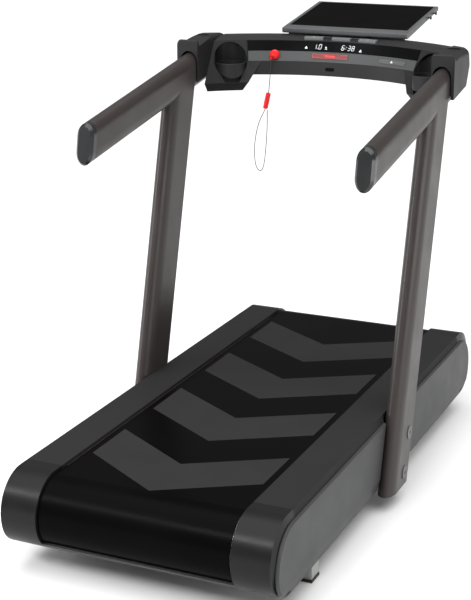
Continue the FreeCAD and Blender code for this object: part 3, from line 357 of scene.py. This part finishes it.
def digit(character, start):
    shapes = []
    for letter in SEGMENTS[character]:
        shapes.append([(start + x + y * SLANT, y) for x, y in segment_outline(letter)])
    return shapes


def rectangle(left, right, low, high):
    return [(left, low), (right, low), (right, high), (left, high)]


def dot(x, y, size=1.6):
    half = size / 2
    x = x + y * SLANT
    return rectangle(x - half, x + half, y - half, y + half)


def up_arrow(size):
    return [(-size * 0.6, -size * 0.5), (size * 0.6, -size * 0.5), (0, size * 0.5)]


def frame_outline(width, height, line):
    """Four bars of a thin rectangle."""
    w = width / 2
    h = height / 2
    return [rectangle(-w, w, -h, line - h), rectangle(-w, w, h - line, h),
            rectangle(-w, line - w, line - h, h - line), rectangle(w - line, w, line - h, h - line)]


def make_face_marks():
    lit = glowing("lit_digit", (0.75, 0.8, 0.84), 0.6)
    # The white and red prints glow a little though they are no lamps: painted light on top of the print's own
    # colour.
    white = glowing("white_print_glow", (0.8, 0.8, 0.8), 0.25)
    red = glowing("red_print_glow", (0.75, 0.03, 0.03), 0.25)
    incline = digit("1", 0) + [dot(13.5, 0.9)] + digit("0", 17)
    face_marks("incline_digits", -8.3, 1.2722, incline, lit)
    percent = [dot(0, 7.5, 2.6), dot(5.0, 1.2, 2.6), [(-1.0, 0), (0.4, 0), (6.4, 8.6), (5.0, 8.6)]]
    face_marks("incline_sign", -4.55, 1.2718, percent, lit)
    clock = digit("6", 0) + [dot(14.5, 4.6), dot(15.5, 10.9)] + digit("3", 21.5) + digit("8", 35)
    face_marks("clock_digits", 0.75, 1.2722, clock, lit)
    face_marks("incline_arrow", -10.6, 1.2765, [up_arrow(8.5)], white)
    face_marks("speed_arrow", 7.2, 1.2740, [up_arrow(8.5)], white)
    face_marks("speed_pad_arrow", 19.3, 1.2500, [up_arrow(7.5)], white, "speed_button", ON_KEY)
    stripes = frame_outline(119, 14.0, 1.1)
    for row in (-2.4, 2.4):
        for left, right in ((-57, -17), (17, 57)):
            stripes.append(rectangle(left, right, row - 0.35, row + 0.35))
    stripes.append(rectangle(-17, 17, -3.2, 3.2))
    face_marks("stop_marks", -2.6, 1.25075, stripes, red, "stop_button", ON_KEY)


PRESET_MIDDLE = 0.6255      # radius of the middle of the keys' sloping tops, from the console's axis
PRESET_TOP = 1.307 + 7.5 * MM * 3 / 16      # height there
PRESET_DOTS = (
    ("left", -8.6, (0.55, 0.5, 0.03)), ("middle", 0.0, (0.08, 0.08, 0.6)), ("right", 8.6, (0.25, 0.5, 0.03)),
)
DOT_RADIUS = 2.4 * MM


def make_key_dots():
    """One small coloured print on each preset key, made to glow a little: painted glow on the print."""
    for name, degrees, color in PRESET_DOTS:
        side = math.radians(degrees)
        out = Vector((math.sin(side), math.cos(side), 0))
        across = Vector((math.cos(side), -math.sin(side), 0))
        middle = Vector((0, CONSOLE_AXIS_Y, 0)) + out * PRESET_MIDDLE
        ring = []
        for step in range(12):
            angle = math.radians(30 * step)
            spot = middle + across * (DOT_RADIUS * math.cos(angle)) + out * (DOT_RADIUS * math.sin(angle))
            ring.append((spot.x, spot.y))
        lower = [(x, y, PRESET_TOP - 0.6 * MM) for x, y in ring]
        upper = [(x, y, PRESET_TOP + 0.7 * MM) for x, y in ring]
        # The print is emissive though it is no lamp: painted glow.
        paint = glowing("dot_" + name, color, 0.15)
        prisms("preset_dot_" + name, [(lower, upper)], paint, "preset_button_" + name)


HOOK_PLACES = ((0.8225, 1.3590), (0.8810, 1.3680))      # Y and Z
HOOK_PEG = (0.2160, 0.2250, 2.6 * MM)       # from X, to X, radius
HOOK_HEAD = (0.2250, 0.2285, 5.5 * MM)


def make_tray_hooks():
    """Two small pegs with round heads on the tray's right-hand edge."""
    for number, (y, z) in enumerate(HOOK_PLACES, start=1):
        pairs = []
        for *ends, radius in (HOOK_PEG, HOOK_HEAD):
            turns = [math.radians(22.5 * step) for step in range(16)]
            circle = [(y + radius * math.cos(turn), z + radius * math.sin(turn)) for turn in turns]
            pairs.append([[(x, *spot) for spot in circle] for x in ends])
        prisms("tray_hook_%d" % number, pairs, MATERIALS["rubber_black"], "tray")


def make_hinge_cover():
    """Two upright strips on the console's top that close the gap under the tray's near edge."""
    half = 0.203
    low = 1.2900
    pairs = []
    for near, far, high in ((0.5960, 0.5985, 1.3083), (0.6190, 0.6225, 1.3138)):
        outline = rectangle(-half, half, near, far)
        pairs.append([[(x, y, z) for x, y in outline] for z in (low, high)])
    prisms("hinge_cover", pairs, MATERIALS["tray_grey"], "base")


FASCIA_FOOT = (0.577, 1.1885)       # radius from the console's axis, and height
FASCIA_HEAD = (0.585, 1.2315)
FASCIA_SLOPE = (FASCIA_HEAD[0] - FASCIA_FOOT[0]) / (FASCIA_HEAD[1] - FASCIA_FOOT[1])


def fascia_point(x, z, out):
    """Point on the beam's lower front, out of it towards the runner."""
    radius = FASCIA_FOOT[0] + (z - FASCIA_FOOT[1]) * FASCIA_SLOPE - out
    return Vector((x, CONSOLE_AXIS_Y + math.sqrt(radius * radius - x * x), z))


def make_fascia_port():
    """Small dark connector opening in the middle of the beam's lower front."""
    middle_x, middle_z = -0.023, 1.2102
    half_width = 0.016
    half_height = 0.006
    ring = []
    for quarter, side in enumerate((1, -1, -1, 1)):
        for step in range(5):
            angle = math.radians(90 * quarter + 22.5 * step)
            ring.append((middle_x + side * (half_width - half_height) + half_height * math.cos(angle),
                         middle_z + half_height * math.sin(angle)))
    lower = [fascia_point(x, z, -0.2 * MM) for x, z in ring]
    upper = [fascia_point(x, z, 0.4 * MM) for x, z in ring]
    prisms("fascia_port", [(lower, upper)], MATERIALS["display_gloss"], "base")


# ---------------------------------------------------------------- floor and light
FLOOR_HALF = 150


def make_stage():
    material, _, shader = new_material("floor")
    shader.inputs["Base Color"].default_value = (0.76, 0.76, 0.76, 1)
    shader.inputs["Roughness"].default_value = 0.9
    mesh = bpy.data.meshes.new("floor")
    corners = [(x, y, 0) for x, y in rectangle(-FLOOR_HALF, FLOOR_HALF, -FLOOR_HALF, FLOOR_HALF)]
    mesh.from_pydata(corners, [], [(0, 1, 2, 3)])
    mesh.materials.append(material)
    floor = bpy.data.objects.new("floor", mesh)
    link(floor)


def soft_box(name, place, target, size, power):
    light = bpy.data.lights.new(name, "AREA")
    light.shape = "RECTANGLE"
    light.size, light.size_y = size
    light.energy = power
    lamp = bpy.data.objects.new(name, light)
    lamp.location = place
    lamp.rotation_euler = (Vector(target) - Vector(place)).to_track_quat("-Z", "Y").to_euler()
    link(lamp)


def sun(name, tilt, turn, strength, spread):
    """Even light from far away, in degrees; tilt is from straight up, turn is about the vertical."""
    light = bpy.data.lights.new(name, "SUN")
    light.energy = strength
    light.angle = math.radians(spread)
    lamp = bpy.data.objects.new(name, light)
    lamp.rotation_euler = (math.radians(tilt), 0, math.radians(turn))
    lamp.location = (0, 0, 6)
    link(lamp)


def make_lights():
    world = bpy.data.worlds.new("studio")
    world.use_nodes = True
    background = world.node_tree.nodes["Background"]
    background.inputs["Color"].default_value = (1, 1, 1, 1)
    background.inputs["Strength"].default_value = 0.26
    bpy.context.scene.world = world
    sun("overhead", tilt=8, turn=60, strength=3.9, spread=80)
    soft_box("strip", place=(-1.3, -4.1, 3.5), target=(0, -0.93, 0.2), size=(5.0, 0.4), power=190)
    soft_box("side_box", place=(5.2, -0.5, 1.3), target=(0.4, 0, 0.6), size=(3.6, 1.6), power=88)
    soft_box("left_box", place=(-4.5, -2.4, 1.6), target=(0, 0, 0.9), size=(1.2, 2.4), power=100)
    bpy.context.scene.view_settings.view_transform = "Standard"


# ---------------------------------------------------------------- make everything
make_camera()
MATERIALS = make_materials()
make_cord()
paint_cad_nodes()
make_chevrons()
make_face_marks()
make_fascia_port()
make_key_dots()
make_tray_hooks()
make_hinge_cover()
make_stage()
make_lights()
